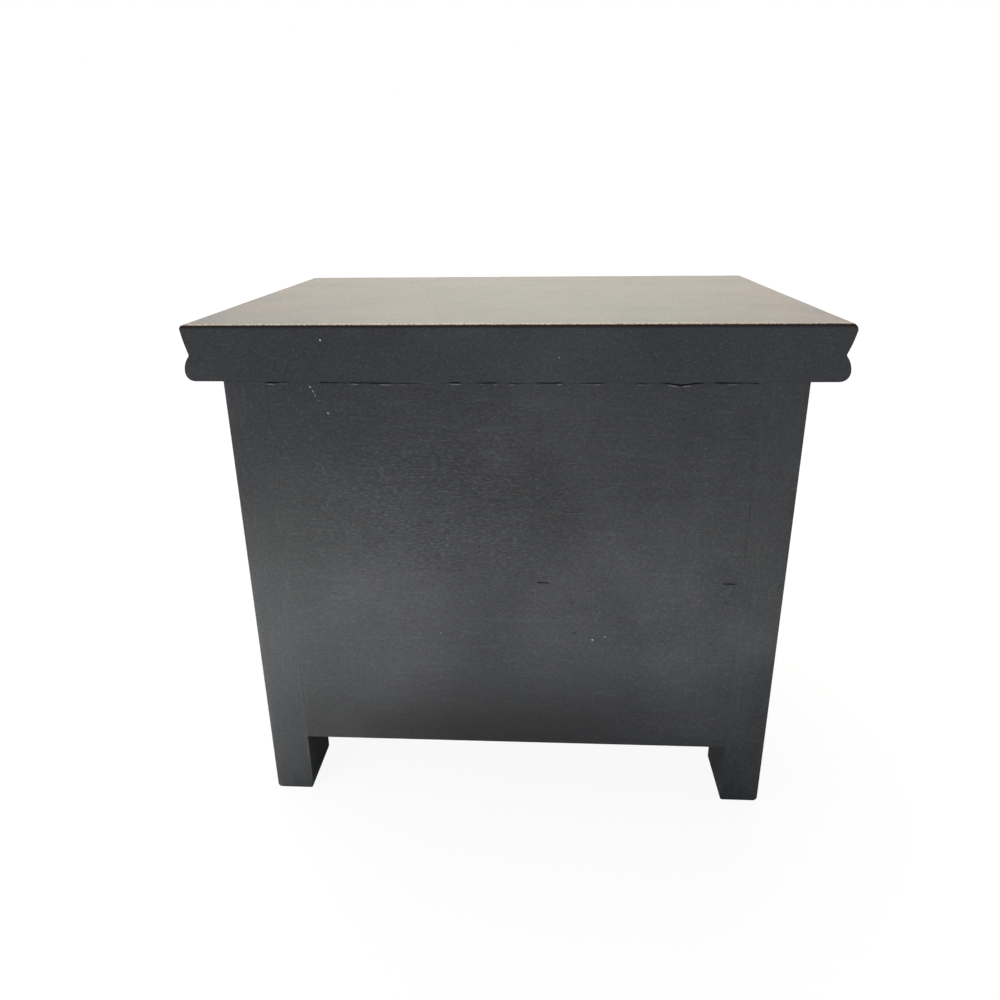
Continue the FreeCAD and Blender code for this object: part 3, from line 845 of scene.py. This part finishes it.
def knob_profile(length, radius):
    """A turned knob as (radius, out): straight stem, hollow neck, full rim and shallow domed face."""
    stem = 4.0 * mm
    points = [(0.0, -9.0 * mm), (stem, -9.0 * mm), (stem, 0.0), (stem, 3.0 * mm)]
    points += [(stem + (radius - stem) * (step / 10) ** 2.4, (3.0 + 5.6 * step / 10) * mm) for step in range(1, 10)]
    rim_centre = length - 3.2 * mm
    points += [
        (radius - 1.9 * mm + 1.9 * mm * math.cos(a), rim_centre + 1.9 * mm * math.sin(a))
        for a in (math.radians(angle) for angle in range(-40, 81, 12))
    ]
    edge_radius, edge_out = points[-1]
    for step in range(1, 9):
        share = step / 8
        points.append((edge_radius * (1 - share), edge_out + (length - edge_out) * (1 - (1 - share) ** 2)))
    return points


def knob(drawer):
    """The turned knob of a drawer, a smooth form round the line along Y."""
    low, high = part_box(drawer + "_knob")
    centre_x, centre_z = (low.x + high.x) / 2, (low.z + high.z) / 2
    face_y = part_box(drawer + "_front")[0].y
    profile = knob_profile(face_y - low.y, (high.x - low.x) / 2)
    rings, points = [], []
    for radius, out in profile:
        if radius < 0.01 * mm:
            rings.append([len(points)] * knob_sides)
            points.append((centre_x, face_y - out, centre_z))
            continue
        ring = []
        for side in range(knob_sides):
            turn = 2 * math.pi * side / knob_sides
            ring.append(len(points))
            points.append((centre_x + radius * math.cos(turn), face_y - out, centre_z + radius * math.sin(turn)))
        rings.append(ring)
    faces = []
    for lower, upper in zip(rings, rings[1:]):
        for side in range(knob_sides):
            after = (side + 1) % knob_sides
            corners = [lower[side], lower[after], upper[after], upper[side]]
            faces.append(tuple(dict.fromkeys(corners)))
    mesh = bpy.data.meshes.new(drawer + "_turned_knob")
    mesh.from_pydata(points, [], faces)
    shaded(mesh, 60)
    rubbed = []
    for place in points:
        out = face_y - place[1]
        from_axis = math.hypot(place[0] - centre_x, place[2] - centre_z)
        rubbed.append(0.5 * math.exp(-(((out - 11 * mm) / (1.2 * mm)) ** 2)) * min(from_axis / (6 * mm), 1.0) ** 2)
    store(mesh, "wear_and_edge_highlight", rubbed)
    return add_piece(
        drawer + "_turned_knob", mesh, paint_z, drawer, [drawer + "_knob"]
    )


def finish_nodes():
    """Gives every CAD node that stays its own material."""
    shelf_wood = wood("shelf_wood", "X", pine_light, pine_dark, 12 * mm, 2.0 * mm)
    upright_wood = wood("upright_wood", "Y", pine_light, pine_dark, 12 * mm, 2.0 * mm)
    side_wood = wood("drawer_side_wood", "Y", alder_light, alder_dark, 9 * mm)
    back_wood = wood("drawer_back_wood", "X", alder_light, alder_dark, 9 * mm)
    sheet = plywood("drawer_plywood")
    wire = steel("staple_steel", srgb(176, 174, 170), srgb(120, 114, 104))
    screws = steel("screw_steel", srgb(196, 180, 140), srgb(140, 118, 80))
    for name, node in frame["nodes"].items():
        if name.endswith("_brads") or name == "back_staples":
            material = wire
        elif name == "top_screws":
            material = screws
        elif name.startswith("drawer") and name.endswith("_bottom"):
            material = sheet
        elif name.startswith("drawer") and name.endswith("_back"):
            material = back_wood
        elif name.startswith("drawer"):
            material = side_wood
        elif name.startswith("partition"):
            material = upright_wood
        elif name == "bottom_board":
            material = paint_x
        else:
            material = shelf_wood
        for slot in node.material_slots:
            slot.material = material


def add_floor():
    """A plain pale floor. The camera sees it white, apart from a share of its own shading near the object."""
    bpy.ops.mesh.primitive_plane_add(size=8.0, location=(0, 0, 0))
    floor = bpy.context.object
    floor.name = "floor"
    n = Nodes("pale_floor")
    path = n.add("ShaderNodeLightPath")
    distance = n.add("ShaderNodeVectorMath", {0: n.place}, operation="LENGTH").outputs["Value"]
    mirrored = n.maths("MAXIMUM", path.outputs["Is Glossy Ray"], path.outputs["Is Transmission Ray"])
    direct = n.maths("MULTIPLY", path.outputs["Is Camera Ray"], n.ramp(distance, 0.15, 0.6, 0.88, 1.0))
    mirrored = n.maths("MULTIPLY", mirrored, n.ramp(distance, 0.2, 2.0, 0.0, 1.0))
    seen_share = n.maths("MAXIMUM", direct, mirrored)
    diffuse = n.add("ShaderNodeBsdfDiffuse", {"Color": (0.82, 0.82, 0.82, 1)})
    white = n.add("ShaderNodeEmission", {"Color": (1, 1, 1, 1), "Strength": 1.05})
    surface = n.add("ShaderNodeMixShader", {0: seen_share, 1: diffuse.outputs[0], 2: white.outputs[0]})
    n.add("ShaderNodeOutputMaterial", {"Surface": surface.outputs[0]})
    floor.data.materials.append(n.material)


def add_world(level):
    """White to the camera and in reflections, and a plain level of soft light for the rest."""
    world = bpy.data.worlds.new("studio")
    bpy.context.scene.world = world
    world.use_nodes = True
    tree = world.node_tree
    tree.nodes.clear()
    path = tree.nodes.new("ShaderNodeLightPath")
    first = tree.nodes.new("ShaderNodeMath")
    second = tree.nodes.new("ShaderNodeMath")
    second.use_clamp = True
    tree.links.new(path.outputs["Is Camera Ray"], first.inputs[0])
    tree.links.new(path.outputs["Is Glossy Ray"], first.inputs[1])
    tree.links.new(first.outputs[0], second.inputs[0])
    tree.links.new(path.outputs["Is Transmission Ray"], second.inputs[1])
    soft = tree.nodes.new("ShaderNodeBackground")
    soft.inputs["Strength"].default_value = level
    white = tree.nodes.new("ShaderNodeBackground")
    white.inputs["Color"].default_value = (1, 1, 1, 1)
    mixed = tree.nodes.new("ShaderNodeMixShader")
    tree.links.new(second.outputs[0], mixed.inputs[0])
    tree.links.new(soft.outputs[0], mixed.inputs[1])
    tree.links.new(white.outputs[0], mixed.inputs[2])
    output = tree.nodes.new("ShaderNodeOutputWorld")
    tree.links.new(mixed.outputs[0], output.inputs["Surface"])
    soft.inputs["Color"].default_value = (1, 1, 1, 1)


def add_lamp(name, place, target, size, power, colour, spread=180, mirrored=True):
    """A soft lamp that faces a target. The size is (wide, high), and the spread its widest angle in degrees."""
    lamp = bpy.data.lights.new(name, "AREA")
    lamp.shape = "ELLIPSE"
    lamp.size, lamp.size_y = size
    lamp.energy = power
    lamp.color = colour
    lamp.spread = math.radians(spread)
    holder = bpy.data.objects.new(name, lamp)
    holder.location = place
    holder.visible_camera = False
    holder.visible_glossy = mirrored
    holder.rotation_euler = (Vector(target) - Vector(place)).to_track_quat("-Z", "Y").to_euler()
    bpy.context.scene.collection.objects.link(holder)


def add_camera():
    camera = bpy.data.cameras.new("camera")
    camera.lens = camera_lens
    camera.sensor_width = 36.0
    camera.clip_start = 0.01
    holder = bpy.data.objects.new("camera", camera)
    turn = Matrix.Rotation(math.radians(camera_heading), 4, "Z")
    turn = turn @ Matrix.Rotation(math.radians(camera_pitch), 4, "X")
    turn = turn @ Matrix.Rotation(math.radians(camera_roll), 4, "Z")
    holder.matrix_world = Matrix.Translation(camera_place) @ turn
    bpy.context.scene.collection.objects.link(holder)
    bpy.context.scene.camera = holder


bpy.context.scene.view_settings.view_transform = "Standard"
add_camera()
add_world(0.34)
add_floor()
add_lamp("overhead_lamp", (0.1, -0.35, 1.1), (0, 0, 0.1), (1.1, 1.1), 13, (1.0, 0.96, 0.88))
add_lamp("front_lamp", (0, -1.1, 0.66), (0, 0, 0.15), (1.4, 0.56), 2.5, (1.0, 0.94, 0.66))
add_lamp("side_lamp", (0.5, 0.42, 0.15), (0.05, 0.088, 0.12), (0.4, 0.3), 0.75, (0.93, 0.97, 1.0), 180, False)
low_colour = (1.0, 0.97, 0.86)
add_lamp("low_strip_near", (0.03, 0.24, 0.024), (0.02, 0.088, 0.1), (0.5, 0.04), 0.066, low_colour, 80, False)
add_lamp("low_strip_narrow", (0.05, 0.24, 0.024), (0.03, 0.088, 0.1), (0.3, 0.04), 0.022, low_colour, 60, False)
add_lamp("low_strip_far", (0.05, 0.36, 0.05), (0.05, 0.088, 0.16), (0.5, 0.06), 0.068, low_colour, 80, False)
add_lamp("left_lamp", (0.3, 0.42, 0.06), (0.1, 0.088, 0.08), (0.08, 0.06), 0.055, low_colour, 24, False)
add_lamp("low_left_lamp", (0.19, 0.2, 0.03), (0.1, 0.088, 0.03), (0.1, 0.05), 0.08, low_colour, 120, False)
add_lamp("low_right_lamp", (-0.14, 0.27, 0.06), (-0.07, 0.088, 0.09), (0.08, 0.05), 0.02, low_colour, 44, False)

finish_nodes()
top_board()
side_board("side_left", left_low.x, left_high.x)
side_board("side_right", right_low.x, right_high.x)
back_panel()
pale_marks()
drawers = [body for body in frame["bodies"] if body.startswith("drawer")]
for drawer in drawers:
    drawer_front(drawer)
    knob(drawer)
